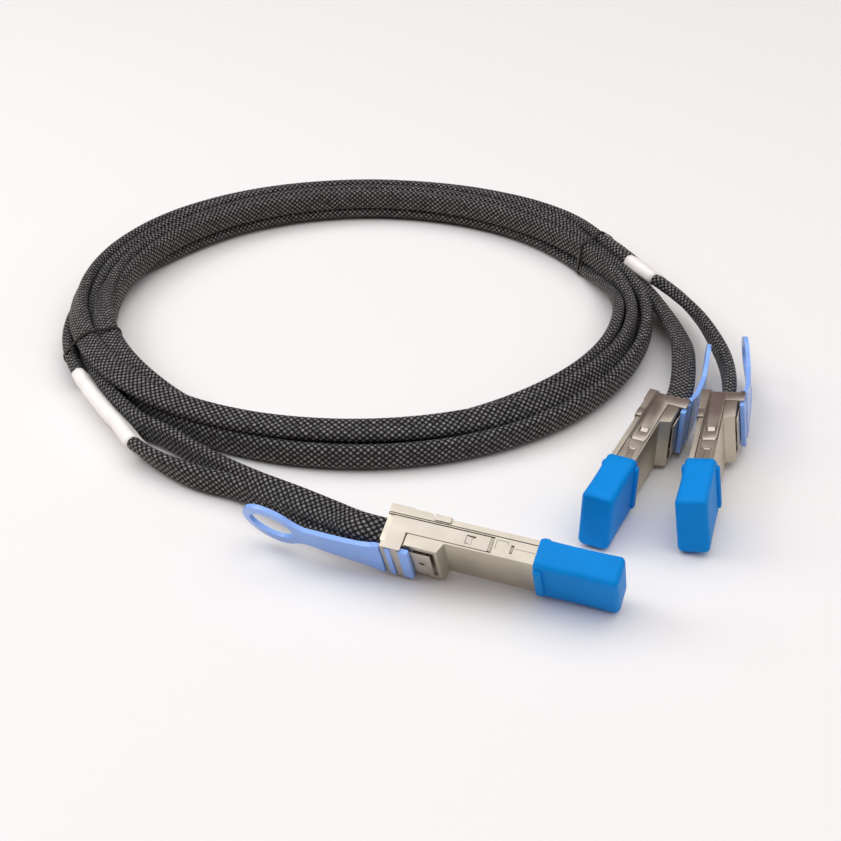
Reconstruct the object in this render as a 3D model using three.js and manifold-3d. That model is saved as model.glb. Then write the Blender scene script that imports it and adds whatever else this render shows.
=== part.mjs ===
// A splitter cable for network equipment: one plug feeds two braided legs, each with a plug of its own.
// Millimetres, +Z up, standing on Z = 0.
import * as THREE from 'three';
import { mergeVertices } from 'three/addons/utils/BufferGeometryUtils.js';
import Module from 'manifold-3d';

const wasm = await Module();
wasm.setup();

// Driving dimensions of a plug. X runs to the nose, Y across the width, Z from the flush side to the bulge.
const plugLength = 72.5;
const plugWidth = 18.35;
const noseThickness = 8.5;
const bulgeLength = 19.5;
const bulgeThickness = 12.1;
const bulgeSlope = 1.4;
const splitHeight = 1.8;
const fitGap = 0.3;
const sheetGap = 0.25;
const rearWall = 1.2;
const roofWall = 1.0;
const recessStart = 7.7;
const recessEnd = 17.6;
const recessHalf = 7.2;
const recessFloor = 0.8;
const floorWall = 1.1;
const noseSideWall = 0.9;
const bodySideWall = 1.675;
const wideCavityStart = 42;
const rearPadLength = 13.6;
const rearPadHeight = 1.1;
const padStep = 7.6;
const padStepHeight = 0.75;

// The latch slider and its channels in the sides
const channelDepth = 0.9;
const channelLow = 2.4;
const channelHigh = 8.0;
const channelEnd = 35;
const armStart = 2;
const armEnd = 33.7;
const armSheet = 0.5;
const armWindow = [26.2, 29.2];
const riserEnd = 7.5;
const riserStart = 0.8;
const plateSheet = 0.4;
const plateEnd = 16.5;
const plateHalfWidth = 6.2;
const plateHole = 1.6;
const barOne = [0.8, 2.1];
const barTwo = [4.4, 6.5];
const barSheet = 0.5;
const barRise = 1.45;
const latchTravel = 2.5;

// The pull tab
const tabThickness = 1.6;
const tabBlockHalf = 8.3;
const tabBlockFront = 10;
const tabBlockRear = -1.5;
const strapHalf = 5.65;
const strapStart = -13;
const strapEnd = -26;
const strapNeck = 4.3;
const loopNeck = 0.72;
const loopCentre = -38.5;
const loopHalfLength = 10.5;
const loopHalfWidth = 9.5;
const loopHoleHalfLength = 7.9;
const loopHoleHalfWidth = 5.9;
const grooveFloor = 0.5;

// The dust cap
const capLength = 26.3;
const capEndGap = 0.5;
const capWall = 0.8;
const capFit = 0.25;
const capFront = 2.0;
const capLip = 1.1;
const capLipLength = 2.6;
const capLipInset = 1.6;
const capCorner = 1.6;
const capStart = plugLength + capEndGap + capFront - capLength;

// Inside the shells
const boardStart = 20;
const boardSetback = 2.0;
const boardEnd = plugLength - boardSetback;
const boardBottom = 3.6;
const boardThickness = 1.0;
const chipSize = [4, 5, 0.9];
const combLength = 5;
const combHeight = 2.1;
const pairSize = [1.2, 1.1];
const pairPitch = 1.6;
const clampStart = 2.2;
const clampLength = 4;
const clampTop = 6.8;
const screwX = 9.2;
const screwY = 5.7;
const screwRadius = 0.7;
const screwHead = 1.3;
const screwLength = 5.8;
const springRadius = 0.75;
const springWire = 0.16;
const springLength = 6.4;
const springPlace = 4.6;
const springTabFront = 14.7;
const springTabSheet = 0.5;
const clipSheet = 0.25;
const clipStart = 14.8;
const clipEnd = 20.2;
const clipLip = 1.5;
const fingerRise = 0.85;

// The cable: legs, coil, ties and labels
const legDiameter = 7.2;
const pairDiameter = 5.7;
const legSides = 10;
const legStart = 7.4;
const coilCentre = [-23.3, 83.7];
const coilRadius = 110.5;
const coilWidth = 20;
const coilTop = 15;
const coilBase = 1.3;
const coilCorner = 4;
const coilSteps = 72;
const tieWidth = 2.6;
const tieSheet = 0.9;
const tieAngles = [-159, 24];
const labelSheet = 0.35;
const frontLabelStart = 104;
const frontLabelLength = 30;
const endLabelLength = 22;

const metal = { color: 0xc9bda9, metalness: 1, roughness: 0.35 };
const steel = { color: 0xb9b2a6, metalness: 1, roughness: 0.3 };
const blueTab = { color: 0x78a4ee, metalness: 0, roughness: 0.4 };
const blueCap = { color: 0x1480d8, metalness: 0, roughness: 0.5 };
const braid = { color: 0x1d1d1f, metalness: 0, roughness: 0.8 };
const green = { color: 0x2d6a3e, metalness: 0, roughness: 0.5 };
const black = { color: 0x151515, metalness: 0, roughness: 0.5 };
const copper = { color: 0xb87b4a, metalness: 1, roughness: 0.4 };
const white = { color: 0xf2f2f0, metalness: 0, roughness: 0.5 };
const cream = { color: 0xd8d2bf, metalness: 0, roughness: 0.6 };

// Closed meshes to solids and back
function toSolid(geometry) {
  const bare = geometry.clone();
  bare.deleteAttribute('normal');
  bare.deleteAttribute('uv');
  const merged = mergeVertices(bare, 1e-4);
  return new wasm.Manifold(new wasm.Mesh({
    numProp: 3,
    vertProperties: new Float32Array(merged.attributes.position.array),
    triVerts: new Uint32Array(merged.index.array),
  }));
}

function toGeometry(solid) {
  const mesh = solid.getMesh();
  const geometry = new THREE.BufferGeometry();
  const places = new Float32Array(mesh.numVert * 3);
  for (let i = 0; i < mesh.numVert; i += 1) {
    for (let k = 0; k < 3; k += 1) places[3 * i + k] = mesh.vertProperties[mesh.numProp * i + k];
  }
  geometry.setAttribute('position', new THREE.BufferAttribute(places, 3));
  geometry.setIndex(new THREE.BufferAttribute(new Uint32Array(mesh.triVerts), 1));
  geometry.computeVertexNormals();
  return geometry;
}

function block([x0, x1], [y0, y1], [z0, z1]) {
  const geometry = new THREE.BoxGeometry(x1 - x0, y1 - y0, z1 - z0);
  geometry.translate((x0 + x1) / 2, (y0 + y1) / 2, (z0 + z1) / 2);
  return toSolid(geometry);
}

function post(x, y, [z0, z1], radius, sides = 16) {
  const geometry = new THREE.CylinderGeometry(radius, radius, z1 - z0, sides);
  geometry.rotateX(Math.PI / 2);
  geometry.translate(x, y, (z0 + z1) / 2);
  return toSolid(geometry);
}

// A profile in X and Z, extruded across the width
function acrossWidth(points, halfWidth) {
  const shape = new THREE.Shape(points.map(([x, z]) => new THREE.Vector2(x, z)));
  const geometry = new THREE.ExtrudeGeometry(shape, { depth: 2 * halfWidth, bevelEnabled: false });
  geometry.rotateX(Math.PI / 2);
  geometry.translate(0, halfWidth, 0);
  return toSolid(geometry);
}

// A rectangle with round corners in Y and Z, extruded along X
function roundedBar([x0, x1], [y0, y1], [z0, z1], corner, segments = 4) {
  const shape = new THREE.Shape();
  shape.moveTo(y0 + corner, z0);
  shape.lineTo(y1 - corner, z0);
  shape.absarc(y1 - corner, z0 + corner, corner, -Math.PI / 2, 0, false);
  shape.lineTo(y1, z1 - corner);
  shape.absarc(y1 - corner, z1 - corner, corner, 0, Math.PI / 2, false);
  shape.lineTo(y0 + corner, z1);
  shape.absarc(y0 + corner, z1 - corner, corner, Math.PI / 2, Math.PI, false);
  shape.lineTo(y0, z0 + corner);
  shape.absarc(y0 + corner, z0 + corner, corner, Math.PI, 1.5 * Math.PI, false);
  const geometry = new THREE.ExtrudeGeometry(shape, {
    depth: x1 - x0, bevelEnabled: false, curveSegments: segments,
  });
  geometry.applyMatrix4(new THREE.Matrix4().makeBasis(
    new THREE.Vector3(0, 1, 0), new THREE.Vector3(0, 0, 1), new THREE.Vector3(1, 0, 0)));
  geometry.translate(x0, 0, 0);
  return toSolid(geometry);
}

function join(...solids) {
  return solids.reduce((whole, solid) => whole.add(solid));
}

function cut(solid, ...tools) {
  return tools.reduce((left, tool) => left.subtract(tool), solid);
}

function bothSides(make) {
  return join(make(1), make(-1));
}

function span(side, low, high) {
  return side > 0 ? [low, high] : [-high, -low];
}

const halfWidth = plugWidth / 2;
const coverBottom = splitHeight + fitGap;
const bodyHalf = halfWidth - bodySideWall;
const noseHalf = halfWidth - noseSideWall;
const bulgeRoof = bulgeThickness - roofWall;
const armOuter = halfWidth - 0.1;
const armInner = armOuter - armSheet;
const plateBottom = bulgeThickness + fitGap;
const plateTop = plateBottom + plateSheet;
const tabBottom = plateTop + sheetGap;
const barTop = plateBottom + plateSheet + barRise;
const barBottom = barTop - barSheet;
const channelFloor = halfWidth - channelDepth;
const clampHalf = bodyHalf - fitGap;
const boardTop = boardBottom + boardThickness;

// The shallow tray on the flush side, with a thicker rear pad and ribs that carry the board
function baseShell() {
  const plate = block([0, plugLength], [-halfWidth, halfWidth], [0, splitHeight]);
  const pad = acrossWidth([[0, -rearPadHeight], [padStep, -rearPadHeight], [padStep + 0.6, -padStepHeight],
    [rearPadLength, -padStepHeight], [rearPadLength + 0.8, 0.2], [0, 0.2]], halfWidth);
  const rearTray = block([rearWall, wideCavityStart], [-bodyHalf, bodyHalf], [floorWall, splitHeight + 1]);
  const noseTray = block([wideCavityStart - 1, plugLength + 1], [-noseHalf, noseHalf],
    [floorWall, splitHeight + 1]);
  const ribs = bothSides((side) => block([boardStart + 6, boardEnd - 6],
    span(side, bodyHalf - 1.4, bodyHalf - fitGap), [floorWall - 0.2, boardBottom - fitGap]));
  const screwHoles = bothSides((side) => join(
    post(screwX, side * screwY, [-rearPadHeight - 1, splitHeight + 1], screwRadius + fitGap),
    post(screwX, side * screwY, [-rearPadHeight - 1, screwRadius], screwHead + fitGap)));
  return cut(join(cut(join(plate, pad), rearTray, noseTray), ribs), screwHoles);
}

// The deep channel that carries the bulge, the latch channels and the screw bosses
function coverShell() {
  const outer = acrossWidth([[0, coverBottom], [plugLength, coverBottom], [plugLength, noseThickness],
    [bulgeLength + bulgeSlope / 2, noseThickness], [bulgeLength - bulgeSlope / 2, bulgeThickness],
    [0.6, bulgeThickness], [0, bulgeThickness - 0.6]], halfWidth);
  const noseRoof = noseThickness - roofWall;
  const bodyCavity = block([rearWall, wideCavityStart + 1], [-bodyHalf, bodyHalf], [0, noseRoof]);
  const noseCavity = block([wideCavityStart, plugLength + 1], [-noseHalf, noseHalf], [0, noseRoof]);
  const bulgeCavity = join(block([rearWall, recessStart], [-bodyHalf, bodyHalf], [0, bulgeRoof]),
    block([recessStart - 0.1, bulgeLength - 2.5], [-bodyHalf, bodyHalf], [0, bulgeRoof - recessFloor]));
  const recess = block([recessStart, recessEnd], [-recessHalf, recessHalf], [bulgeRoof, bulgeThickness + 1]);
  const mouth = roundedBar([-1, rearWall + 1], [-6.3, 6.3], [0.5, bulgeRoof + 0.2], 1.5);
  const channels = bothSides((side) => join(
    block([-1, channelEnd], span(side, channelFloor, halfWidth + 1), [channelLow, channelHigh]),
    block([-1, riserEnd + 0.7], span(side, channelFloor, halfWidth + 1), [channelHigh - 1, 20])));
  const slots = bothSides((side) => block([40.5, 41.4], span(side, halfWidth - 3, halfWidth + 1), [3.8, 6.7]));
  const pockets = bothSides((side) => block([springTabFront - springTabSheet - springLength - latchTravel - 0.8,
    springTabFront + 0.4], span(side, springPlace - 1.1, springPlace + 1.1),
    [bulgeThickness - 2 * springRadius - 0.4, bulgeThickness + 1]));
  const bosses = bothSides((side) => join(
    post(screwX, side * screwY, [coverBottom, bulgeRoof + 0.1], screwRadius + fitGap + 0.8),
    block([screwX - 1, screwX + 1], span(side, screwY, bodyHalf + 0.1), [coverBottom, bulgeRoof + 0.1])));
  const pocketTrays = bothSides((side) => block(
    [springTabFront - springTabSheet - springLength - latchTravel - 1.6, springTabFront + 1.2],
    span(side, springPlace - 1.8, springPlace + 1.8),
    [bulgeThickness - 2 * springRadius - 1.1, bulgeRoof + 0.1]));
  const bores = bothSides((side) => post(screwX, side * screwY, [0, coverBottom + screwLength],
    screwRadius + fitGap));
  const hollow = cut(outer, bodyCavity, noseCavity, bulgeCavity, mouth);
  return cut(join(hollow, bosses, pocketTrays), channels, slots, pockets, bores, recess);
}

// The thin spring clip under the flush side, with fingers that ground the plug in its cage
function shieldClip() {
  const outside = halfWidth + fitGap + clipSheet;
  const outer = block([clipStart, clipEnd], [-outside, outside], [-fitGap - clipSheet, clipLip]);
  const inner = block([clipStart - 1, clipEnd + 1], [-halfWidth - fitGap, halfWidth + fitGap],
    [-fitGap, clipLip + 1]);
  const fingers = [-6.6, -3.3, 0, 3.3, 6.6].map((y) => {
    const bump = acrossWidth([[clipStart + 0.6, -fitGap - clipSheet / 2],
      [clipStart + 2.7, -fitGap - fingerRise], [clipEnd - 0.6, -fitGap - clipSheet / 2]], 1.2);
    return bump.translate([0, y, 0]);
  });
  return join(cut(outer, inner), ...fingers);
}

function board() {
  const rear = block([boardStart, wideCavityStart + 2], [-bodyHalf + fitGap, bodyHalf - fitGap],
    [boardBottom, boardTop]);
  const front = block([wideCavityStart + 0.5, boardEnd], [-noseHalf + fitGap, noseHalf - fitGap],
    [boardBottom, boardTop]);
  return join(rear, front);
}

function memoryChip() {
  const [long, wide, tall] = chipSize;
  const bottom = boardTop + fitGap;
  return block([34, 34 + long], [-wide / 2, wide / 2], [bottom, bottom + tall]);
}

function wireComb() {
  const bottom = boardTop + fitGap;
  return block([boardStart + 1, boardStart + 1 + combLength], [-6.4, 6.4], [bottom, bottom + combHeight]);
}

function conductorPairs() {
  const start = legStart + fitGap;
  const end = boardStart + 1 - fitGap;
  const [wide, tall] = pairSize;
  const bottom = boardTop + fitGap + 0.4;
  const places = [-1.5, -0.5, 0.5, 1.5].map((step) => step * pairPitch);
  const strip = block([end - 1.6, end - 0.6], [places[0], places[3]], [bottom + 0.3, bottom + tall - 0.3]);
  return join(strip, ...places.map((y) => block([start, end], [y - wide / 2, y + wide / 2],
    [bottom, bottom + tall])));
}

// The clamp grips each leg just inside the rear wall
function cableClamp(legs, diameter) {
  const body = block([clampStart, clampStart + clampLength], [-clampHalf, clampHalf],
    [floorWall + fitGap, clampTop]);
  const holes = legs.map(([y, z]) => legBar(y, z, diameter / 2 + fitGap, clampStart - 1,
    clampStart + clampLength + 1));
  return cut(body, ...holes);
}

function legBar(y, z, radius, x0, x1) {
  const geometry = new THREE.CylinderGeometry(radius, radius, x1 - x0, 24);
  geometry.rotateZ(Math.PI / 2);
  geometry.translate((x0 + x1) / 2, y, z);
  return toSolid(geometry);
}

function shellScrew(side) {
  const top = -rearPadHeight + 0.15;
  return join(
    post(screwX, side * screwY, [top, screwRadius - fitGap], screwHead),
    post(screwX, side * screwY, [0.2, coverBottom + screwLength - fitGap - 0.4], screwRadius));
}

// Two arms in the side channels, two cross bars over the pull tab and a tongue on the bulge
function latchSlider() {
  const arms = bothSides((side) => cut(
    block([armStart, armEnd], span(side, armInner, armOuter), [channelLow + fitGap, channelHigh - fitGap]),
    block(armWindow, span(side, armInner - 1, armOuter + 1), [3.7, 6.7])));
  const risers = bothSides((side) => join(
    block([armStart, riserEnd], span(side, armInner, armOuter), [channelHigh - 1, plateTop]),
    block([riserStart, riserEnd], span(side, armInner, armOuter), [plateBottom, barTop])));
  const bars = [barOne, barTwo].map((places) => block(places, [-armOuter, armOuter], [barBottom, barTop]));
  const plate = join(
    block([armStart + 0.5, riserEnd], [-armOuter, armOuter], [plateBottom, plateTop]),
    block([riserEnd - 1, plateEnd], [-plateHalfWidth, plateHalfWidth], [plateBottom, plateTop]));
  const hole = block([12.4, 12.4 + plateHole], [-plateHole / 2, plateHole / 2], [plateBottom - 1, plateTop + 1]);
  const springTabs = bothSides((side) => block([springTabFront - springTabSheet, springTabFront],
    span(side, springPlace - 0.8, springPlace + 0.8), [bulgeThickness - 2 * springRadius, plateTop]));
  return join(arms, risers, ...bars, cut(plate, hole), springTabs);
}

class SpringLine extends THREE.Curve {
  constructor(x, y, z, turns) {
    super();
    Object.assign(this, { x, y, z, turns });
  }

  getPoint(t, target = new THREE.Vector3()) {
    const turn = 2 * Math.PI * this.turns * t;
    const radius = springRadius - springWire;
    return target.set(this.x + springLength * t, this.y + radius * Math.cos(turn), this.z + radius * Math.sin(turn));
  }
}

function returnSpring(side) {
  const start = springTabFront - springTabSheet - latchTravel - fitGap - springLength - springWire;
  const wire = new THREE.Shape();
  wire.absarc(0, 0, springWire, 0, 2 * Math.PI, false);
  return toSolid(new THREE.ExtrudeGeometry(wire, {
    steps: 40,
    curveSegments: 2,
    bevelEnabled: false,
    extrudePath: new SpringLine(start, side * springPlace, bulgeThickness - springRadius - 0.1, 5),
  }));
}

// A flat moulding with a finger loop, bent a little towards the cable at its free end
function pullTab(tipBend) {
  const outline = new THREE.Shape();
  const shoulder = 2.2;
  const neckX = loopCentre + loopHalfLength * Math.cos(loopNeck);
  const neckY = loopHalfWidth * Math.sin(loopNeck);
  outline.moveTo(tabBlockFront, -tabBlockHalf);
  outline.lineTo(tabBlockFront, tabBlockHalf);
  outline.lineTo(5, tabBlockHalf);
  outline.lineTo(tabBlockRear, tabBlockHalf);
  outline.quadraticCurveTo(tabBlockRear - shoulder, strapHalf + 0.9, strapStart, strapHalf);
  outline.lineTo((strapStart + strapEnd) / 2, (strapHalf + strapNeck) / 2);
  outline.lineTo(strapEnd, strapNeck);
  outline.quadraticCurveTo(strapEnd - 1.6, strapNeck + 0.2, neckX, neckY);
  outline.absellipse(loopCentre, 0, loopHalfLength, loopHalfWidth, loopNeck, 2 * Math.PI - loopNeck, false, 0);
  outline.quadraticCurveTo(strapEnd - 1.6, -strapNeck - 0.2, strapEnd, -strapNeck);
  outline.lineTo((strapStart + strapEnd) / 2, -(strapHalf + strapNeck) / 2);
  outline.lineTo(strapStart, -strapHalf);
  outline.quadraticCurveTo(tabBlockRear - shoulder, -strapHalf - 0.9, tabBlockRear, -tabBlockHalf);
  outline.lineTo(5, -tabBlockHalf);
  const hole = new THREE.Path();
  hole.absellipse(loopCentre, 0, loopHoleHalfLength, loopHoleHalfWidth, 0, 2 * Math.PI, true, 0);
  outline.holes.push(hole);
  const geometry = new THREE.ExtrudeGeometry(outline, {
    depth: tabThickness, bevelEnabled: false, curveSegments: 14,
  });
  geometry.translate(0, 0, tabBottom);
  const places = geometry.attributes.position;
  const bendStart = -4;
  const bendLength = bendStart - loopCentre + loopHalfLength;
  for (let i = 0; i < places.count; i += 1) {
    const along = Math.max(0, bendStart - places.getX(i)) / bendLength;
    places.setZ(i, places.getZ(i) - tipBend * along * along);
  }
  const grooves = [barOne, barTwo].map(([x0, x1]) => block([x0 - fitGap, x1 + fitGap], [-20, 20],
    [tabBottom + grooveFloor, tabBottom + 5]));
  return cut(toSolid(geometry), ...grooves);
}

// A box open at the rear, with a grip lip on each wide face at its mouth
function dustCap() {
  const inner = capFit;
  const outer = capFit + capWall;
  const end = capStart + capLength;
  const body = roundedBar([capStart, end], [-halfWidth - outer, halfWidth + outer],
    [-outer, noseThickness + outer], capCorner);
  const lips = block([capStart, capStart + capLipLength], [-halfWidth + capLipInset, halfWidth - capLipInset],
    [-outer - capLip, noseThickness + outer + capLip]);
  const hollow = block([capStart - 1, end - capFront], [-halfWidth - inner, halfWidth + inner],
    [-inner, noseThickness + inner]);
  return cut(join(body, lips), hollow);
}

// Where the three plugs lie: rear corner, turn about Z, nose down, and roll about the plug's own length
const legPlaces = { pair: [[3.05, 6.3], [-3.05, 6.3]], single: [[0, 6.9]] };
const plugs = [
  { name: 'a', place: [-7.9, -85.8, 15.6], yaw: -20.1, pitch: 1.6, roll: 117.2, tipBend: 4, legs: legPlaces.pair,
    legWidth: pairDiameter },
  { name: 'b', place: [83.1, -10.6, 10.4], yaw: -114.4, pitch: 0, roll: 268.4, tipBend: 6.5,
    legs: legPlaces.single, legWidth: legDiameter },
  { name: 'c', place: [103.4, -10.8, 10.5], yaw: -105.9, pitch: 0.2, roll: 278.1, tipBend: 5.5,
    legs: legPlaces.single, legWidth: legDiameter },
];

const model = new THREE.Group();
const cable = new THREE.Group();
model.add(cable);

function addMesh(group, name, solid, look) {
  const mesh = new THREE.Mesh(toGeometry(solid), new THREE.MeshStandardMaterial(look));
  mesh.name = name;
  group.add(mesh);
  return mesh;
}

const radians = Math.PI / 180;
for (const plug of plugs) {
  const group = new THREE.Group();
  const named = (name) => `${name}_${plug.name}`;
  addMesh(group, named('base_shell'), baseShell(), metal);
  addMesh(group, named('cover_shell'), coverShell(), metal);
  addMesh(group, named('shield_clip'), shieldClip(), steel);
  addMesh(group, named('circuit_board'), board(), green);
  addMesh(group, named('memory_chip'), memoryChip(), black);
  addMesh(group, named('wire_comb'), wireComb(), cream);
  addMesh(group, named('conductor_pairs'), conductorPairs(), copper);
  addMesh(group, named('cable_clamp'), cableClamp(plug.legs, plug.legWidth), steel);
  addMesh(group, named('shell_screw_left'), shellScrew(1), steel);
  addMesh(group, named('shell_screw_right'), shellScrew(-1), steel);
  addMesh(group, named('latch_slider'), latchSlider(), steel);
  addMesh(group, named('return_spring_left'), returnSpring(1), steel);
  addMesh(group, named('return_spring_right'), returnSpring(-1), steel);
  addMesh(group, named('pull_tab'), pullTab(plug.tipBend), blueTab);
  addMesh(group, named('dust_cap'), dustCap(), blueCap);
  group.rotation.set(plug.roll * radians, plug.pitch * radians, plug.yaw * radians, 'ZYX');
  group.position.set(...plug.place);
  group.updateMatrixWorld(true);
  const low = new THREE.Box3().setFromObject(group, true).min.z;
  group.position.z -= low;
  group.updateMatrixWorld(true);
  plug.group = group;
  model.add(group);
}

// Each leg's free stretch: inside its plug, straight out of the rear, then by hand to the coil
function legRoute(plug, index, points) {
  const [y, z] = plug.legs[index];
  const start = [legStart, 0, -9].map((x) => plug.group.localToWorld(new THREE.Vector3(x, y, z)));
  return [...start, ...points.map((point) => new THREE.Vector3(...point))];
}

const routes = {
  leg_tube_a1: legRoute(plugs[0], 0, [[-27.5, -80.5, 13.4], [-39.5, -68.5, 10.4], [-55, -55.5, 9], [-77, -35, 6.5], [-93.5, -19, 4.4],
    [-105, -6, 4.4]]),
  leg_tube_a2: legRoute(plugs[0], 1, [[-28.5, -84, 6.6], [-43.5, -72.5, 4.2], [-62, -60.5, 4], [-80.5, -46, 4],
    [-96, -31.5, 4], [-107.5, -14, 4], [-117.4, 2.3, 4]]),
  leg_tube_b: legRoute(plugs[1], 0, [[103, 32, 9.5], [104.5, 52, 8.5], [102, 70, 7.5], [96.8, 85.5, 6.6]]),
  leg_tube_c: legRoute(plugs[2], 0, [[117.2, 30, 10], [116, 48, 9.8], [112, 66, 9.2], [107, 82, 9.6],
    [101, 95, 10.5]]),
};

// The coil: a ring with cut corners, lying flat
function coilRing(grow = 0) {
  const half = coilWidth / 2 + grow;
  const low = coilBase - grow;
  const high = coilTop + grow;
  const inner = coilRadius - half;
  const outer = coilRadius + half;
  const points = [[inner + coilCorner, low], [outer - coilCorner, low], [outer, low + coilCorner],
    [outer, high - coilCorner], [outer - coilCorner, high], [inner + coilCorner, high],
    [inner, high - coilCorner], [inner, low + coilCorner], [inner + coilCorner, low]];
  const geometry = new THREE.LatheGeometry(points.map(([x, y]) => new THREE.Vector2(x, y)), coilSteps);
  geometry.rotateX(Math.PI / 2);
  geometry.translate(coilCentre[0], coilCentre[1], 0);
  const solid = toSolid(geometry);
  return solid;
}

function circle(radius, sides) {
  return new THREE.Shape(Array.from({ length: sides }, (_, i) => {
    const turn = (2 * Math.PI * i) / sides;
    return new THREE.Vector2(radius * Math.cos(turn), radius * Math.sin(turn));
  }));
}

function legTube(points, diameter) {
  const path = new THREE.CatmullRomCurve3(points, false, 'centripetal');
  const steps = Math.ceil(path.getLength() / (2 * diameter));
  return toSolid(new THREE.ExtrudeGeometry(circle(diameter / 2, legSides),
    { steps, bevelEnabled: false, extrudePath: path }));
}

const clearOfCoil = coilRing(fitGap);
for (const [name, points] of Object.entries(routes)) {
  const diameter = name.startsWith('leg_tube_a') ? pairDiameter : legDiameter;
  addMesh(cable, name, cut(legTube(points, diameter), clearOfCoil), braid);
}
addMesh(cable, 'cable_coil', coilRing(), braid);

// A tie is a flat band round the coil's section
function tie(angle) {
  const grown = cut(coilRing(fitGap + tieSheet), clearOfCoil);
  const slice = block([coilRadius - coilWidth, coilRadius + coilWidth], [-tieWidth / 2, tieWidth / 2],
    [-5, coilTop + 5]).rotate([0, 0, angle]).translate([coilCentre[0], coilCentre[1], 0]);
  return grown.intersect(slice);
}

addMesh(cable, 'tie_left', tie(tieAngles[0]), black);
addMesh(cable, 'tie_right', tie(tieAngles[1]), black);

// A label is a thin wrap round a stretch of its leg
function labelWrap(points, diameter, from, length) {
  const path = new THREE.CatmullRomCurve3(points, false, 'centripetal');
  const whole = path.getLength();
  const inner = diameter / 2 + 2 * fitGap;
  const piece = (radius, extra) => {
    const stretch = new THREE.CatmullRomCurve3(Array.from({ length: 9 }, (_, i) => path.getPointAt(
      (from - extra + (i * (length + 2 * extra)) / 8) / whole)));
    return toSolid(new THREE.ExtrudeGeometry(circle(radius, 16), { steps: 8, bevelEnabled: false, extrudePath: stretch }));
  };
  return cut(piece(inner + labelSheet, 0), piece(inner, 1));
}

addMesh(cable, 'label_left', labelWrap(routes.leg_tube_a2, pairDiameter, frontLabelStart, frontLabelLength), white);
addMesh(cable, 'label_right', labelWrap(routes.leg_tube_c, legDiameter, 90, endLabelLength), white);

// The origin is on the surface, midway between the plugs
model.updateMatrixWorld(true);
const plugBox = new THREE.Box3();
for (const plug of plugs) plugBox.union(new THREE.Box3().setFromObject(plug.group, true));
const middle = plugBox.getCenter(new THREE.Vector3());
model.position.set(-middle.x, -middle.y, 0);
model.updateMatrixWorld(true);

export default model;
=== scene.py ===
import math
import bmesh
import bpy
import numpy as np
from mathutils import Euler, Matrix, Vector


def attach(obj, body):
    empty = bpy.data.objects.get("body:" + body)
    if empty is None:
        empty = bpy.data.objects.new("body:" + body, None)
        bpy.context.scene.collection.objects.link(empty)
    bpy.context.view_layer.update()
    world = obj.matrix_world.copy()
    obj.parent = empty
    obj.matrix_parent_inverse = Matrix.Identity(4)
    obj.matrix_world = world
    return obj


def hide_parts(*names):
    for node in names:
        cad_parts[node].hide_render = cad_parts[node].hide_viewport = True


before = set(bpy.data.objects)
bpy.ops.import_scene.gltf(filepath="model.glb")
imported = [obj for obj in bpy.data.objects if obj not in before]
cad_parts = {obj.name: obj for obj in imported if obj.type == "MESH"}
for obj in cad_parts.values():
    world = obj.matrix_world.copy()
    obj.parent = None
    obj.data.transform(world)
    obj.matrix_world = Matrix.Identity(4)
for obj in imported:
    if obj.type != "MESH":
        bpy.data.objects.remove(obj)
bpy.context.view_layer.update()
print("frame loaded", len(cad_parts), "nodes")

# The photo's camera was worked out with its own origin; this is where the row's origin lies in that layout
layoutShift = np.array([34.5042, -44.5841, 0.0])
mm = 0.001


def fromLayout(point):
    return (np.array(point, float) - layoutShift) * mm


# Camera
cameraSettings = {
    "place": (0.0, -482.6, 291.6),
    "aim": (0.0, 0.0, 0.0),
    "lens": 65.09,
    "sensor": 36.0,
    "clip": (0.01, 20.0),
    "picture": 841,
}
camera = bpy.data.objects.new("photoCamera", bpy.data.cameras.new("photoCamera"))
bpy.context.scene.collection.objects.link(camera)
camera.data.sensor_width = cameraSettings["sensor"]
camera.data.lens = cameraSettings["lens"]
camera.data.clip_start, camera.data.clip_end = cameraSettings["clip"]
cameraPlace = Vector(fromLayout(cameraSettings["place"]))
cameraAim = Vector(fromLayout(cameraSettings["aim"]))
camera.location = cameraPlace
camera.rotation_euler = (cameraAim - cameraPlace).to_track_quat("-Z", "Y").to_euler()
bpy.context.scene.camera = camera

# Where each plug lies, in the row's frame and in millimetres and degrees
# A plug's own X runs to its nose, Y across it, and Z from its flush side to its bulge
plugPlaces = {
    "a": {"place": (-42.404, -41.216, 14.989), "roll": 117.2, "pitch": 1.6, "yaw": -20.1},
    "b": {"place": (48.596, 33.984, 10.443), "roll": 268.4, "pitch": 0.0, "yaw": -114.4},
    "c": {"place": (68.896, 33.784, 10.321), "roll": 278.1, "pitch": 0.2, "yaw": -105.9},
}


def plugMatrix(letter):
    p = plugPlaces[letter]
    turn = Euler([math.radians(p[k]) for k in ("roll", "pitch", "yaw")], "XYZ").to_matrix().to_4x4()
    place = Matrix.Translation(Vector(p["place"]) * mm)
    return place @ turn @ Matrix.Scale(mm, 4)


plugFrames = {letter: plugMatrix(letter) for letter in plugPlaces}


# Meshes
def newObject(name, vertices, faces, uvs=None):
    mesh = bpy.data.meshes.new(name)
    mesh.from_pydata([tuple(v) for v in vertices], [], faces)
    if uvs is not None:
        layer = mesh.uv_layers.new(name="along")
        layer.data.foreach_set("uv", np.asarray(uvs, np.float32).ravel())
    mesh.polygons.foreach_set("use_smooth", [True] * len(mesh.polygons))
    mesh.update()
    obj = bpy.data.objects.new(name, mesh)
    bpy.context.scene.collection.objects.link(obj)
    return obj


def pointOut(mesh):  # turns every face outwards
    work = bmesh.new()
    work.from_mesh(mesh)
    bmesh.ops.recalc_face_normals(work, faces=work.faces)
    work.to_mesh(mesh)
    work.free()


def finishPiece(obj, material, body, slotName, *replaced):
    obj.data.materials.append(material)
    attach(obj, body)
    if replaced:
        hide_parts(*replaced)


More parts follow.
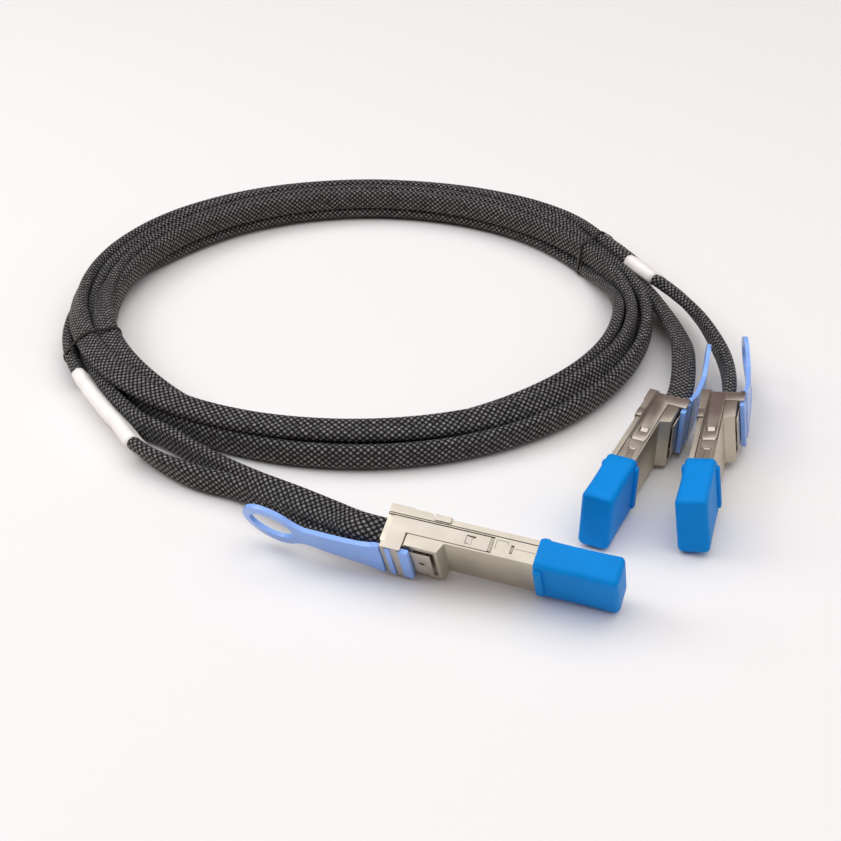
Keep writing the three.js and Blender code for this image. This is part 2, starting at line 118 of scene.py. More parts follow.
# A smooth curve through keys, with the same slope on both sides of each
def throughKeys(keys, samples):
    keys = np.array(keys, float)
    t = keys[:, 0]
    slope = np.gradient(keys[:, 1:], t, axis=0)
    at = np.clip(np.searchsorted(t, samples, side="right") - 1, 0, len(t) - 2)
    width = (t[at + 1] - t[at])[:, None]
    f = ((samples - t[at]) / (t[at + 1] - t[at]))[:, None]
    return ((2 * f**3 - 3 * f**2 + 1) * keys[at, 1:] + (f**3 - 2 * f**2 + f) * width * slope[at]
            + (3 * f**2 - 2 * f**3) * keys[at + 1, 1:] + (f**3 - f**2) * width * slope[at + 1])


# The coil's circle in the layout, and the angle of the joint at the left, where the turns start
ring = {"centre": (-23.3, 83.7), "radius": 110.5, "joint": 210.0, "step": 4.5}

# Strand keys: turn travelled since the joint at the left, radial offset, height, tilt of the broad side
strandKeys = {
    "c": [(-20, 12.0, 5.0, -88), (-12, 8.9, 4.8, -90), (-4, 6.8, 4.7, -90), (8, 5.4, 4.7, -88),
          (22, 3.6, 4.2, -70), (40, 0.5, 3.4, -30), (62, -4.4, 2.8, 0), (90, -4.8, 2.8, 0),
          (160, -4.9, 2.8, 0), (190, -5.0, 2.8, 0),
          (203, -5.6, 5.2, -50), (216, -5.8, 9.2, -88), (235, -5.5, 9.7, -88), (257, -5.0, 9.8, -80),
          (303, -5.6, 5.2, -88), (335, -5.9, 4.9, -90), (366, -5.6, 4.8, -90), (395, -7.0, 8.2, -90),
          (420, -7.9, 9.8, -90), (470, -7.8, 9.8, -88), (535, -7.2, 9.8, -92), (560, -3.4, 9.8, -90),
          (577, -0.6, 9.8, -88), (617, 0.9, 10.9, -52), (663, -0.4, 11.9, -20), (700, 2.4, 12.0, -20),
          (726, 4.2, 12.0, -22), (750, 6.4, 11.0, -60), (780, 7.9, 9.8, -90), (882, 7.4, 9.9, -90),
          (896, 5.4, 12.2, -62), (906, 3.2, 14.2, -36), (915, 4.6, 14.2, -28), (924, 9.8, 12.6, -30)],
    "b": [(-18, 17.2, 4.5, -130), (-11, 13.8, 4.4, -130), (-3, 11.5, 4.4, -130), (5, 10.5, 4.4, -128),
          (14, 10.0, 4.5, -110), (24, 8.9, 4.6, -84), (40, 6.8, 3.6, -40),
          (62, 4.9, 2.8, 0), (90, 4.7, 2.8, 0), (160, 4.4, 2.8, 0), (190, 1.6, 2.8, 0), (215, -0.2, 2.8, 0),
          (257, -1.0, 3.0, -6), (285, -0.6, 3.9, -45), (303, -0.2, 4.9, -86), (330, -1.4, 8.0, -88),
          (352, -3.4, 11.4, -40), (366, -4.2, 12.2, -14), (385, -3.6, 11.8, -40), (415, -2.7, 9.9, -88),
          (470, -2.6, 9.9, -92), (535, -2.0, 9.8, -90), (556, 0.2, 9.8, -90), (573, 4.8, 9.5, -90),
          (617, 6.1, 5.6, -88), (663, 5.7, 4.9, -88), (695, 3.4, 4.9, -88), (716, 0.6, 4.8, -90),
          (732, 0.2, 5.2, -90), (760, 2.2, 8.6, -90), (785, 2.6, 9.8, -90), (882, 2.6, 9.8, -90),
          (905, 2.2, 9.5, -80), (913, 3.0, 9.3, -66), (919, 5.4, 8.7, -50), (926, 8.8, 7.4, -42)],
}

# Free stretches, in the layout: point and tilt of the broad side. Plug ends are in the plug's own millimetres
freeStretches = {
    "c": {
        "startPlug": ("a", [(7.0, 3.0, 6.3), (0.0, 3.0, 6.3), (-7.0, 3.0, 6.2)], -27),
        "before": [(-28.0, -78.0, 11.6, -30), (-39.7, -68.1, 10.3, -40), (-54.0, -56.6, 8.6, -55),
                   (-64.5, -47.0, 7.2, -70), (-77.2, -33.7, 5.8, -85), (-91.5, -18.8, 5.0, -88)],
        "after": [(107.3, 81.5, 10.0, -40), (112.7, 65.3, 9.4, -60), (115.2, 46.2, 10.0, -78),
                  (116.4, 29.9, 10.2, -88)],
        "endPlug": ("c", [(-9.0, 0.0, 6.8), (0.0, 0.0, 6.7), (7.0, 0.0, 6.7)], -90),
    },
    "b": {
        "startPlug": ("a", [(7.0, -3.0, 6.3), (0.0, -3.0, 6.3), (-7.0, -3.0, 6.2)], -27),
        "before": [(-27.5, -79.5, 6.8, -40), (-40.0, -68.6, 4.9, -70), (-50.5, -60.0, 4.7, -88),
                   (-63.3, -51.5, 4.7, -90), (-77.0, -45.3, 4.7, -90), (-90.0, -36.2, 4.7, -110),
                   (-101.0, -24.6, 4.7, -130)],
        "after": [(99.9, 74.0, 6.8, -34), (101.9, 58.5, 7.4, -30), (102.5, 43.0, 8.6, -22),
                  (100.9, 28.4, 9.8, -8)],
        "endPlug": ("b", [(-9.0, 0.0, 6.8), (0.0, 0.0, 6.7), (7.0, 0.0, 6.7)], 0),
    },
}


def ringPoint(turned, offset, height):
    angle = math.radians(ring["joint"] - turned)
    r = ring["radius"] + offset
    return (ring["centre"][0] + r * math.cos(angle), ring["centre"][1] + r * math.sin(angle), height)


def plugPoint(letter, point):
    return np.array(plugFrames[letter] @ Vector(point)) / mm + layoutShift


def legLine(letter):
    stretch = freeStretches[letter]
    keys = strandKeys[letter]
    rows = []
    startLetter, startPoints, startTilt = stretch["startPlug"]
    for point in startPoints:
        rows.append([*plugPoint(startLetter, point), startTilt])
    rows += [list(row) for row in stretch["before"]]
    turns = np.arange(keys[0][0], keys[-1][0], ring["step"])
    for turned, (offset, height, tilt) in zip(turns, throughKeys(keys, turns)):
        rows.append([*ringPoint(turned, offset, height), tilt])
    rows += [list(row) for row in stretch["after"]]
    endLetter, endPoints, endTilt = stretch["endPlug"]
    for point in endPoints:
        rows.append([*plugPoint(endLetter, point), endTilt])
    rows = np.array(rows, float)
    along = np.concatenate([[0], np.cumsum(np.linalg.norm(np.diff(rows[:, :3], axis=0), axis=1))])
    fine = np.arange(0, along[-1], legSettings["run"])
    return throughKeys(np.column_stack([along, rows]), fine)


uvScale = 10.0  # the sleeve's UV map is in centimetres

# A leg's sleeve: a flat oval over two pairs, with a shallow groove between them
legSettings = {"width": 9.2, "thick": 5.3, "sides": 22, "groove": 0.5, "grooveWidth": 1.3,
               "edgeCurve": 0.9, "faceCurve": 0.75, "run": 2.4}


def sectionOf(settings, grow=0.0):
    turn = np.linspace(0, 2 * np.pi, settings["sides"], endpoint=False)
    half = settings["width"] / 2
    across = half * np.sign(np.cos(turn)) * np.abs(np.cos(turn)) ** settings["edgeCurve"]
    up = settings["thick"] / 2 * np.sign(np.sin(turn)) * np.abs(np.sin(turn)) ** settings["faceCurve"]
    dip = np.exp(-(across / settings["grooveWidth"]) ** 2)
    up *= 1.0 - settings["groove"] / settings["thick"] * 2 * dip
    return across + np.sign(across) * grow, up + np.sign(up) * grow


def girthAlong(section):
    across, up = section
    steps = np.hypot(np.diff(np.append(across, across[0])), np.diff(np.append(up, up[0])))
    return np.concatenate([[0], np.cumsum(steps)])


def framesAlong(line):  # the broad and the thin direction of the section, at each point
    tangent = np.gradient(line[:, :3], axis=0)
    tangent /= np.linalg.norm(tangent, axis=1)[:, None]
    side = np.column_stack([-tangent[:, 1], tangent[:, 0], np.zeros(len(line))])
    side /= np.linalg.norm(side, axis=1)[:, None]
    up = np.cross(tangent, side)
    up *= np.sign(up[:, 2])[:, None]
    tilt = np.radians(line[:, 3])[:, None]
    broad = side * np.cos(tilt) + up * np.sin(tilt)
    thin = np.cross(tangent, broad)
    return broad, thin


def sweepMesh(name, line, section):
    across, up = section
    broad, thin = framesAlong(line)
    count = len(line)
    sides = len(across)
    rings = (line[:, None, :3] + broad[:, None, :] * across[None, :, None]
             + thin[:, None, :] * up[None, :, None])
    girth = girthAlong(section)
    run = np.concatenate([[0], np.cumsum(np.linalg.norm(np.diff(line[:, :3], axis=0), axis=1))])
    faces = []
    uvs = []
    for i in range(count - 1):
        for k in range(sides):
            n = (k + 1) % sides
            faces.append((i * sides + k, i * sides + n, (i + 1) * sides + n, (i + 1) * sides + k))
            uvs += [(girth[k], run[i]), (girth[k + 1], run[i]),
                    (girth[k + 1], run[i + 1]), (girth[k], run[i + 1])]
    faces.append(tuple(range(sides - 1, -1, -1)))
    faces.append(tuple((count - 1) * sides + k for k in range(sides)))
    uvs += [(0, 0)] * sides * 2
    return newObject(name, fromLayout(rings.reshape(-1, 3)), faces, np.array(uvs) / uvScale)


# Shader maths: a socket that can be added and multiplied
class Sock:
    def __init__(self, tree, socket):
        self.tree = tree
        self.socket = socket

    def math(self, kind, other=None):
        node = self.tree.nodes.new("ShaderNodeMath")
        node.operation = kind
        for slotIndex, value in enumerate((self, other)):
            if isinstance(value, Sock):
                self.tree.links.new(value.socket, node.inputs[slotIndex])
            elif value is not None:
                node.inputs[slotIndex].default_value = value
        return Sock(self.tree, node.outputs[0])

    def __add__(self, other):
        return self.math("ADD", other)

    def __radd__(self, other):
        return self.math("ADD", other)

    def __sub__(self, other):
        return self.math("SUBTRACT", other)

    def __rsub__(self, other):
        return (self * -1.0).math("ADD", other)

    def __mul__(self, other):
        return self.math("MULTIPLY", other)

    def __rmul__(self, other):
        return self.math("MULTIPLY", other)

    def __truediv__(self, other):
        return self.math("DIVIDE", other)


class Surface:
    def __init__(self, name, settings):
        self.material = bpy.data.materials.new(name)
        self.material.use_nodes = True
        self.tree = self.material.node_tree
        self.shader = self.tree.nodes["Principled BSDF"]
        for key, value in settings.items():
            self.shader.inputs[key].default_value = value

    def make(self, kind, inputs=None, output=0, **fields):
        node = self.tree.nodes.new(kind)
        for key, value in fields.items():
            setattr(node, key, value)
        for key, value in (inputs or {}).items():
            if isinstance(value, Sock):
                self.tree.links.new(value.socket, node.inputs[key])
            else:
                node.inputs[key].default_value = value
        return Sock(self.tree, node.outputs[output])

    def place(self):
        return self.make("ShaderNodeTexCoord", output="Object")

    def split(self, vector):
        node = self.tree.nodes.new("ShaderNodeSeparateXYZ")
        self.tree.links.new(vector.socket, node.inputs[0])
        return [Sock(self.tree, part) for part in node.outputs]

    def noise(self, scale, detail, rough=0.5):
        return self.make("ShaderNodeTexNoise", {"Vector": self.place(), "Scale": scale, "Detail": detail,
                                                "Roughness": rough})

    def colour(self, factor, first, second):
        node = self.tree.nodes.new("ShaderNodeMix")
        node.data_type = "RGBA"
        for key, value in ((0, factor), (6, first), (7, second)):
            if isinstance(value, Sock):
                self.tree.links.new(value.socket, node.inputs[key])
            else:
                node.inputs[key].default_value = value if key == 0 else (*value, 1.0)[:4]
        return Sock(self.tree, node.outputs[2])

    def ramp(self, value, low, high):
        return self.make("ShaderNodeMapRange", {"Value": value, "From Min": low, "From Max": high})

    def set(self, key, sock):
        self.tree.links.new(sock.socket, self.shader.inputs[key])

    def bump(self, height, distance, strength=1.0):
        node = self.make("ShaderNodeBump", {"Height": height, "Distance": distance, "Strength": strength})
        self.set("Normal", node)


def linear(hexColour):  # a screen colour as linear light
    parts = [int(hexColour[i:i + 2], 16) / 255 for i in (0, 2, 4)]
    return tuple(c / 12.92 if c <= 0.04045 else ((c + 0.055) / 1.055) ** 2.4 for c in parts)


# Materials
metalFinish = {"cloud": 90.0, "fine": 2600.0, "grain": 700.0, "shade": 0.86, "spread": 0.14,
               "relief": 0.00002}
plasticFinish = {"cloud": 120.0, "fine": 1800.0, "grain": 500.0, "shade": 0.9, "spread": 0.08}
# deep is the braid's own near-black; the crown colour is a painted highlight on the strand tops
braid = {"cellsRound": 11, "runPitch": 2.45, "deep": (0.0022, 0.0022, 0.0024), "paintedCrownHighlight": (0.38, 0.38, 0.385),
         "threads": 5.0, "threadRise": 0.35, "fleck": 700.0, "relief": 0.0006}


def castMetal(name, colour, roughness):
    m = metalFinish
    s = Surface(name, {"Metallic": 1.0, "Roughness": roughness, "Base Color": (*colour, 1)})
    cloud = s.noise(m["cloud"], 4.0, 0.6)
    fine = s.noise(m["fine"], 2.0)
    dark = tuple(m["shade"] * c for c in colour)
    s.set("Base Color", s.colour(s.ramp(cloud, 0.35, 0.7), dark, colour))
    s.set("Roughness", s.ramp(cloud, 0.2, 0.8) * m["spread"] + fine * 0.06 + (roughness - 0.08))
    s.bump(fine * 0.6 + s.noise(m["grain"], 2.0) * 0.8, m["relief"], 0.6)
    return s.material


def plainPlastic(name, colour, roughness, extra=None, relief=0.00002):
    m = plasticFinish
    s = Surface(name, {"Roughness": roughness, "Base Color": (*colour, 1), **(extra or {})})
    cloud = s.noise(m["cloud"], 3.0, 0.55)
    fine = s.noise(m["fine"], 2.0)
    dark = tuple(m["shade"] * c for c in colour)
    s.set("Base Color", s.colour(s.ramp(cloud, 0.3, 0.75), dark, colour))
    s.set("Roughness", fine * m["spread"] + cloud * m["spread"] + (roughness - 0.08))
    s.bump(fine + s.noise(m["grain"], 2.0) * 1.4, relief, 0.5)
    return s.material


def braidMaterial(name):  # two sets of flat strands that cross over and under each other; the strand crowns carry a painted highlight in lighter grey on the black braid
    s = Surface(name, {"Specular IOR Level": 0.2})
    girth, run, _ = s.split(s.make("ShaderNodeUVMap", uv_map="along"))
    across = girth * uvScale * (braid["cellsRound"] / float(girthAlong(sectionOf(legSettings))[-1]))
    along = run * uvScale / braid["runPitch"]
    domes = []
    heights = []
    turns = []
    for way in (along + across, along - across):
        strand = way.math("PINGPONG", 0.5) * 2.0
        dome = (1.0 - strand * strand).math("SQRT")
        thread = (way * braid["threads"]).math("PINGPONG", 0.5)
        domes.append(dome)
        heights.append(dome + thread * braid["threadRise"])
        turns.append((way + 0.5).math("FLOOR"))
    over = (turns[0] + turns[1]).math("PINGPONG", 1.0)
    height = heights[0] * over + heights[1] * (1.0 - over)
    crown = s.ramp(domes[0] * domes[1], 0.45, 0.95)
    fleck = s.ramp(s.noise(braid["fleck"], 2.0, 0.6), 0.35, 0.75)
    # painted highlight: the black braid turns lighter grey on the strand crowns, flecked at random by noise,
    # and the gaps stay near-black
    s.set("Base Color", s.colour(crown * crown * (fleck * 0.75 + 0.25), braid["deep"], braid["paintedCrownHighlight"]))
    s.set("Roughness", 0.62 - crown * 0.3)
    s.bump(height, braid["relief"])
    return s.material


materials = {
    "shell": castMetal("shellMetal", (0.56, 0.525, 0.45), 0.38),
    "sheet": castMetal("springSteel", (0.56, 0.52, 0.46), 0.32),
    "tab": plainPlastic("tabBlue", linear("82b0fa"), 0.32,
                        {"Coat Weight": 0.2, "Subsurface Weight": 0.15, "Subsurface Scale": 0.002}),
    "cap": plainPlastic("capBlue", linear("0086da"), 0.5, {"Specular IOR Level": 0.1}, relief=0.00003),
    "board": plainPlastic("boardGreen", linear("2f6e44"), 0.35),
    "chip": plainPlastic("chipBlack", linear("1c1c1e"), 0.5),
    "comb": plainPlastic("combCream", linear("d8d0ba"), 0.5),
    "copper": castMetal("bareCopper", (0.85, 0.48, 0.28), 0.32),
    "seam": plainPlastic("seamShade", (0.06, 0.05, 0.045), 0.6),
    "gold": castMetal("contactGold", (0.95, 0.70, 0.30), 0.25),
    "tie": plainPlastic("tieBlack", linear("151515"), 0.35),
    "label": plainPlastic("labelWhite", linear("f4f4f2"), 0.45),
    "braid": braidMaterial("braidBlack"),
}
print("materials made")

# The two legs
legNodes = {"c": ("leg_tube_a1", "leg_tube_c", "cable_coil"),
            "b": ("leg_tube_a2", "leg_tube_b", "cable_coil")}
legLines = {letter: legLine(letter) for letter in legNodes}
for letter, line in legLines.items():
    leg = sweepMesh(f"leg_{letter}", line, sectionOf(legSettings))
    finishPiece(leg, materials["braid"], "root", "braid_black")
    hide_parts(*legNodes[letter])


# A CAD node's copy with its edges rounded
dressSettings = {"merge": 2e-6, "flatAngle": 0.6, "edgeAngle": 32, "segments": 3, "smoothAngle": 38}


def dressed(node, width, material, body, slotName):
    d = dressSettings
    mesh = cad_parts[node].data.copy()
    mesh.materials.clear()
    work = bmesh.new()
    work.from_mesh(mesh)
    bmesh.ops.remove_doubles(work, verts=work.verts, dist=d["merge"])
    flat = math.radians(d["flatAngle"])
    bmesh.ops.dissolve_limit(work, angle_limit=flat, verts=work.verts, edges=work.edges)
    sharp = math.radians(d["edgeAngle"])
    edges = [e for e in work.edges if len(e.link_faces) == 2 and e.calc_face_angle(0) > sharp]
    bmesh.ops.bevel(work, geom=edges, offset=width * mm, segments=d["segments"], affect="EDGES", profile=0.5,
                    material=-1, clamp_overlap=True)
    bmesh.ops.recalc_face_normals(work, faces=work.faces)
    work.to_mesh(mesh)
    work.free()
    mesh.polygons.foreach_set("use_smooth", [True] * len(mesh.polygons))
    mesh.set_sharp_from_angle(angle=math.radians(d["smoothAngle"]))
    obj = bpy.data.objects.new(node + "_dressed", mesh)
    bpy.context.scene.collection.objects.link(obj)
    finishPiece(obj, material, body, slotName, node)


dressings = {
    "base_shell": {"width": 0.22, "material": "shell", "slot": "shell_metal"},
    "cover_shell": {"width": 0.28, "material": "shell", "slot": "shell_metal"},
    "shield_clip": {"width": 0.08, "material": "sheet", "slot": "spring_steel"},
    "latch_slider": {"width": 0.12, "material": "sheet", "slot": "spring_steel", "body": "tab"},
    "pull_tab": {"width": 0.42, "material": "tab", "slot": "tab_blue", "body": "tab"},
    "shell_screw_left": {"width": 0.12, "material": "sheet", "slot": "spring_steel"},
    "shell_screw_right": {"width": 0.12, "material": "sheet", "slot": "spring_steel"},
}
plainNodes = {  # hidden pieces, which keep their CAD mesh
    "circuit_board": ("board", "board_green"),
    "memory_chip": ("chip", "chip_black"),
    "wire_comb": ("comb", "comb_cream"),
    "conductor_pairs": ("copper", "bare_copper"),
    "cable_clamp": ("sheet", "spring_steel"),
    "return_spring_left": ("sheet", "spring_steel"),
    "return_spring_right": ("sheet", "spring_steel"),
}
for letter in plugPlaces:
    for node, d in dressings.items():
        body = f"{d['body']}_{letter}" if "body" in d else "root"
        dressed(f"{node}_{letter}", d["width"], materials[d["material"]], body, d["slot"])
    for node, (material, slotName) in plainNodes.items():
        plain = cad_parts[f"{node}_{letter}"]
        plain.data.materials.clear()
        plain.data.materials.append(materials[material])
    print("plug", letter, "dressed")

# Small stamped details of each plug, in its own millimetres, the same on both sides
# A lug is a thin plate that slopes inwards from the first y to the second
lugs = {
    "arm_lugs": {"material": "sheet", "slot": "spring_steel", "body": "tab",
                 "plates": [((33.75, 34.7), (9.03, 8.4), (3.1, 7.3)),
                            ((26.35, 28.0), (9.03, 8.42), (4.0, 6.4))]},
    "nose_lugs": {"material": "shell", "slot": "shell_metal",
                  "plates": [((40.6, 41.3), (9.1, 8.6), (4.2, 6.3))]},
}
lugSheet = 0.18
seamSettings = {"depth": (9.0, 9.19), "lines": [((35.7, 39.5), (3.0, 3.14)), ((35.7, 35.84), (3.0, 6.2)),
                                                ((39.36, 39.5), (3.0, 4.0)), ((41.7, 48.3), (4.7, 4.84))]}
contactSettings = {"count": 19, "pitch": 0.8, "x": (67.5, 70.2), "firstY": (-7.4, -6.95),
                   "faces": [(4.59, 4.63), (3.57, 3.61)]}


def addBox(work, xs, ys, zs):
    made = bmesh.ops.create_cube(work, size=1.0)["verts"]
    for v in made:
        v.co = [span[int(v.co[k] > 0)] for k, span in enumerate((xs, ys, zs))]
    return made


def addLug(work, xs, ys, zs, side):
    for v in addBox(work, xs, (0, 1), zs):
        outer = ys[0] if abs(v.co.x - xs[0]) < abs(v.co.x - xs[1]) else ys[1]
        v.co.y = side * (outer - (0 if v.co.y > 0.5 else lugSheet))


def detailPiece(name, letter, work, material, body, slotName):
    bmesh.ops.recalc_face_normals(work, faces=work.faces)
    obj = newObject(f"{name}_{letter}", [], [])
    work.to_mesh(obj.data)
    work.free()
    obj.data.transform(plugFrames[letter])
    finishPiece(obj, materials[material], body, slotName)


for letter in plugPlaces:
    for name, lug in lugs.items():
        work = bmesh.new()
        for xs, ys, zs in lug["plates"]:
            for side in (1, -1):
                addLug(work, xs, ys, zs, side)
        body = f"{lug['body']}_{letter}" if "body" in lug else "root"
        detailPiece(name, letter, work, lug["material"], body, lug["slot"])
    work = bmesh.new()
    for xs, zs in seamSettings["lines"]:
        for side in (1, -1):
            addBox(work, xs, sorted(side * y for y in seamSettings["depth"]), zs)
    detailPiece("side_seams", letter, work, "seam", "root", "shell_metal")
    work = bmesh.new()
    for i in range(contactSettings["count"]):
        ys = [y + contactSettings["pitch"] * i for y in contactSettings["firstY"]]
        for zs in contactSettings["faces"]:
            addBox(work, contactSettings["x"], ys, zs)
    detailPiece("edge_contacts", letter, work, "gold", "root", "bare_copper")
print("stamped details made")

# Dust caps: a soft box with round edges, open at the rear, with a grip lip on each wide face
# A rim is how far the mouth's edge is set off, and along what length
capSettings = {"start": 48.7, "end": 75.0, "halfWidth": 10.2, "halfThick": 5.3, "middle": 4.25, "corner": 1.9,
               "cornerLeast": 0.5, "cornerLoss": 0.7, "cornerSteps": 5, "sideSteps": 5, "edge": 1.7,
               "swell": 0.16, "rim": (0.22, 0.25), "steps": 8, "arcSteps": 6,
               "inner": (9.42, 4.5), "innerEnd": 73.0, "innerCorner": 0.7, "innerRim": (0.2, 0.3),
               "lip": (2.8, 15.8, 2.0), "lipRound": 0.75, "smoothAngle": 50}


def roundSection(halfY, halfZ, corner):
    arc = capSettings["cornerSteps"]
    straight = capSettings["sideSteps"]
    points = []
    for sideY, sideZ, start in ((1, -1, -90), (1, 1, 0), (-1, 1, 90), (-1, -1, 180)):
        for step in range(arc + 1):
            turn = math.radians(start + 90 * step / arc)
            points.append((sideY * (halfY - corner) + corner * math.cos(turn),
                           sideZ * (halfZ - corner) + corner * math.sin(turn)))
    full = []
    for i, point in enumerate(points):
        full.append(point)
        after = points[(i + 1) % len(points)]
        if (i + 1) % (arc + 1) == 0:
            full += [tuple(point[k] + (after[k] - point[k]) * step / straight for k in (0, 1))
                     for step in range(1, straight)]
    return full


def capRings():  # from the bottom of the bore to its mouth, then along the outside to the closed end
    c = capSettings
    turnStart = c["end"] - c["edge"]
    bodyStart = c["start"] + c["rim"][1]
    outer = [(c["start"], c["rim"][0])]
    outer += [(bodyStart + i * (turnStart - bodyStart) / c["steps"], 0.0) for i in range(c["steps"] + 1)]
    for step in range(1, c["arcSteps"] + 1):
        turn = math.radians(90 * step / c["arcSteps"])
        outer.append((turnStart + c["edge"] * math.sin(turn), c["edge"] * (1 - math.cos(turn))))
    inner = [(c["innerEnd"], 0.0), (c["start"] + c["innerRim"][1], 0.0), (c["start"], c["innerRim"][0])]
    sections = []
    for x, grow in inner:
        sections.append((x, roundSection(c["inner"][0] + grow, c["inner"][1] + grow, c["innerCorner"])))
    for x, shrink in outer:
        f = (x - c["start"]) / (c["end"] - c["start"])
        less = shrink + (c["swell"] * math.sin(math.pi * f) if shrink < 1 else 0.0)
        corner = max(c["cornerLeast"], c["corner"] - c["cornerLoss"] * shrink)
        sections.append((x, roundSection(c["halfWidth"] - less, c["halfThick"] - less, corner)))
    return [[(x, y, c["middle"] + z) for y, z in section] for x, section in sections]


def makeCap(letter):
    c = capSettings
    rings = capRings()
    work = bmesh.new()
    loops = [[work.verts.new(p) for p in ringPoints] for ringPoints in rings]
    work.faces.new(loops[0])
    work.faces.new(loops[-1][::-1])
    for first, second in zip(loops, loops[1:]):
        for k in range(len(first)):
            n = (k + 1) % len(first)
            work.faces.new((first[k], second[k], second[n], first[n]))
    for side in (1, -1):
        middle = (c["start"] + c["lip"][0] / 2, 0.0, c["middle"] + side * c["halfThick"])
        spans = [(middle[k] - c["lip"][k] / 2, middle[k] + c["lip"][k] / 2) for k in range(3)]
        edges = list({e for v in addBox(work, *spans) for e in v.link_edges})
        bmesh.ops.bevel(work, geom=edges, offset=c["lipRound"], segments=4, affect="EDGES", profile=0.5,
                        material=-1)
    bmesh.ops.recalc_face_normals(work, faces=work.faces)
    cap = newObject(f"soft_cap_{letter}", [], [])
    work.to_mesh(cap.data)
    work.free()
    cap.data.transform(plugFrames[letter])
    cap.data.polygons.foreach_set("use_smooth", [True] * len(cap.data.polygons))
    cap.data.set_sharp_from_angle(angle=math.radians(c["smoothAngle"]))
    finishPiece(cap, materials["cap"], f"cap_{letter}", "cap_blue", f"dust_cap_{letter}")


for letter in plugPlaces:
    makeCap(letter)
print("caps made")


# Ties, each a band on the outline of all the strands that pass at its angle
tieSettings = {"angles": {"left": 202.0, "right": 24.0}, "width": 1.6, "sheet": 0.4, "clear": 0.15,
               "sides": 40, "innerLowest": 0.12, "outerLowest": 0.02, "smoothAngle": 50}


def halfHull(points):  # the lower half of the outline round sorted points
    out = []
    for p in points:
        while len(out) > 1 and ((out[-1][0] - out[-2][0]) * (p[1] - out[-2][1])
                                - (out[-1][1] - out[-2][1]) * (p[0] - out[-2][0])) <= 0:
            out.pop()
        out.append(p)
    return out[:-1]


def hullAround(points, clear):
    pts = sorted(set((round(float(y), 4), round(float(z), 4)) for y, z in points))
    hull = np.array(halfHull(pts) + halfHull(pts[::-1]))
    centre = hull.mean(axis=0)
    closed = np.vstack([hull, hull[:1]])
    along = np.concatenate([[0], np.cumsum(np.linalg.norm(np.diff(closed, axis=0), axis=1))])
    at = np.linspace(0, along[-1], tieSettings["sides"], endpoint=False)
    even = np.column_stack([np.interp(at, along, closed[:, k]) for k in (0, 1)])
    outward = even - centre
    outward /= np.linalg.norm(outward, axis=1)[:, None]
    return even + outward * clear, outward


def makeTie(name):
    t = tieSettings
    angle = math.radians(t["angles"][name])
    radial = np.array([math.cos(angle), math.sin(angle)])
    tangent = np.array([-math.sin(angle), math.cos(angle)])
    centre = np.array(ring["centre"])
    section = np.column_stack(sectionOf(legSettings))
    points = []
    for line in legLines.values():
        broad, thin = framesAlong(line)
        offset = line[:, :2] - centre
        near = (np.abs(offset @ tangent) < t["width"]) & (offset @ radial > 0)
        for i in np.nonzero(near)[0]:
            for across, up in section:
                p = line[i, :3] + broad[i] * across + thin[i] * up
                points.append(((p[:2] - centre) @ radial, p[2]))
    inner, outward = hullAround(points, t["clear"])
    inner[:, 1] = np.maximum(inner[:, 1], t["innerLowest"])
    outer = inner + outward * t["sheet"]
    outer[:, 1] = np.maximum(outer[:, 1], t["outerLowest"])
    loops = []
    for side in (-0.5, 0.5):
        for ringPoints in ((inner, outer) if side < 0 else (outer, inner)):
            shift = tangent * side * t["width"]
            loops.append([(*(centre + radial * r + shift), z) for r, z in ringPoints])
    count = t["sides"]
    faces = []
    for i in range(len(loops)):
        after = (i + 1) % len(loops)
        for k in range(count):
            n = (k + 1) % count
            faces.append((i * count + k, i * count + n, after * count + n, after * count + k))
    tie = newObject(f"tie_band_{name}", fromLayout([p for loop in loops for p in loop]), faces)
    pointOut(tie.data)
    tie.data.set_sharp_from_angle(angle=math.radians(t["smoothAngle"]))
    finishPiece(tie, materials["tie"], "root", "tie_black", f"tie_{name}")


for name in tieSettings["angles"]:
    makeTie(name)

# Blank labels, wrapped on a leg between two points of the layout
labelSettings = {
    "left": {"leg": "b", "from": (-99.0, -25.0, 5.0), "to": (-128.0, 24.5, 5.0), "sheet": 0.28},
    "right": {"leg": "c", "from": (90.5, 107.0, 14.0), "to": (99.5, 93.0, 12.0), "sheet": 0.28},
}


def makeLabel(name):
    p = labelSettings[name]
    line = legLines[p["leg"]]
    ends = [int(np.argmin(np.linalg.norm(line[:, :3] - np.array(p[k]), axis=1))) for k in ("from", "to")]
    stretch = line[min(ends):max(ends) + 1]
    wrap = sweepMesh(f"label_wrap_{name}", stretch, sectionOf(legSettings, p["sheet"]))
    finishPiece(wrap, materials["label"], "root", "label_white", f"label_{name}")


for name in labelSettings:
    makeLabel(name)
print("ties and labels made")

# The floor, in metres: far away it glows for camera rays, a painted fade into the backdrop, and the part sees
# it in other colours, lighter in front and darker and warmer behind, which paints the reflections and bounce
# light on the metal
floorSettings = {"size": 60.0, "height": -0.0009, "seen": (0.77, 0.785, 0.79), "far": (0.88, 0.88, 0.88),
                 "fade": (0.45, 1.7), "unseenFront": (0.88, 0.86, 0.84), "unseenBack": (0.80, 0.77, 0.72),
                 "unseenSplit": (-0.12, 0.03)}


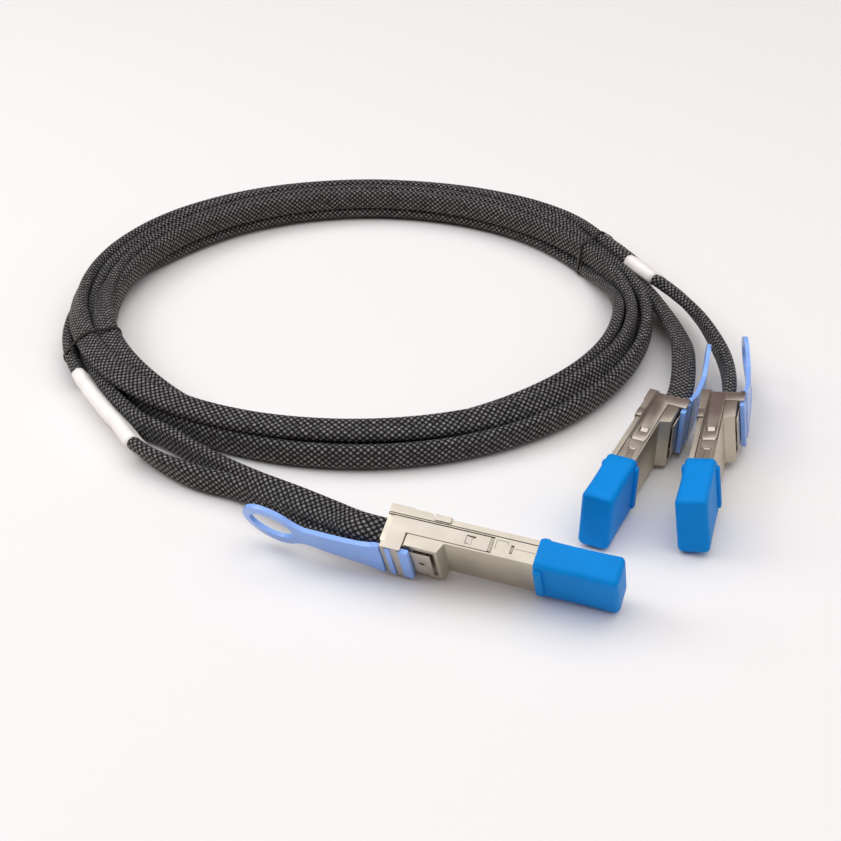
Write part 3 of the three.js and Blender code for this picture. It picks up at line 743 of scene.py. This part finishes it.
def makeFloor():
    half = floorSettings["size"] / 2
    z = floorSettings["height"]
    floor = newObject("floor", [(-half, -half, z), (half, -half, z), (half, half, z), (-half, half, z)],
                      [(0, 1, 2, 3)])
    s = Surface("floorPale", {"Roughness": 0.9, "Emission Strength": 1.0})
    fromCamera = s.make("ShaderNodeLightPath", output="Is Camera Ray")
    x, y, _ = s.split(s.place())
    # painted reflection: the floor as the part sees it is lighter in front and darker and warmer behind
    unseen = s.colour(s.ramp(y, *floorSettings["unseenSplit"]), floorSettings["unseenFront"],
                      floorSettings["unseenBack"])
    # painted light: far away the floor glows in the backdrop's colour for camera rays
    fade = s.ramp((x * x + y * y).math("SQRT"), *floorSettings["fade"]) * fromCamera
    near = s.colour(fromCamera, unseen, floorSettings["seen"])
    s.set("Base Color", s.colour(fade, near, (0.0, 0.0, 0.0)))
    s.set("Emission Color", s.colour(fade, (0.0, 0.0, 0.0), floorSettings["far"]))
    floor.data.materials.append(s.material)


makeFloor()

# Soft lights, in metres and watts
lights = {
    "above": {"place": (-0.1, 0.0, 1.5), "aim": (-0.1, 0.05, 0.0), "size": 3.4, "power": 52.0},
    "left": {"place": (-1.1, 0.2, 0.8), "aim": (0.0, 0.0, 0.0), "size": 0.7, "power": 5.0},
    "right": {"place": (1.2, -0.6, 0.7), "aim": (0.0, 0.0, 0.0), "size": 0.5, "power": 2.0},
}
for name, light in lights.items():
    data = bpy.data.lights.new(name, "AREA")
    data.size = light["size"]
    data.energy = light["power"]
    lamp = bpy.data.objects.new(name, data)
    bpy.context.scene.collection.objects.link(lamp)
    lamp.location = light["place"]
    lamp.rotation_euler = (Vector(light["aim"]) - Vector(light["place"])).to_track_quat("-Z", "Y").to_euler()

# The camera sees a pale backdrop, and the metal reflects a dim warm room
worldSettings = {"room": (0.18, 0.115, 0.105, 1), "backdrop": (0.88, 0.88, 0.88, 1)}
world = bpy.data.worlds.new("studio")
bpy.context.scene.world = world
world.use_nodes = True
nodes, links = world.node_tree.nodes, world.node_tree.links
room = nodes["Background"]
backdrop = nodes.new("ShaderNodeBackground")
room.inputs[0].default_value = worldSettings["room"]
backdrop.inputs[0].default_value = worldSettings["backdrop"]
choose = nodes.new("ShaderNodeMixShader")
links.new(nodes.new("ShaderNodeLightPath").outputs["Is Camera Ray"], choose.inputs[0])
links.new(room.outputs[0], choose.inputs[1])
links.new(backdrop.outputs[0], choose.inputs[2])
links.new(choose.outputs[0], nodes["World Output"].inputs[0])
print("floor and lights made")

bpy.context.scene.view_settings.view_transform = "Standard"
bpy.context.scene.render.resolution_x = cameraSettings["picture"]
bpy.context.scene.render.resolution_y = cameraSettings["picture"]
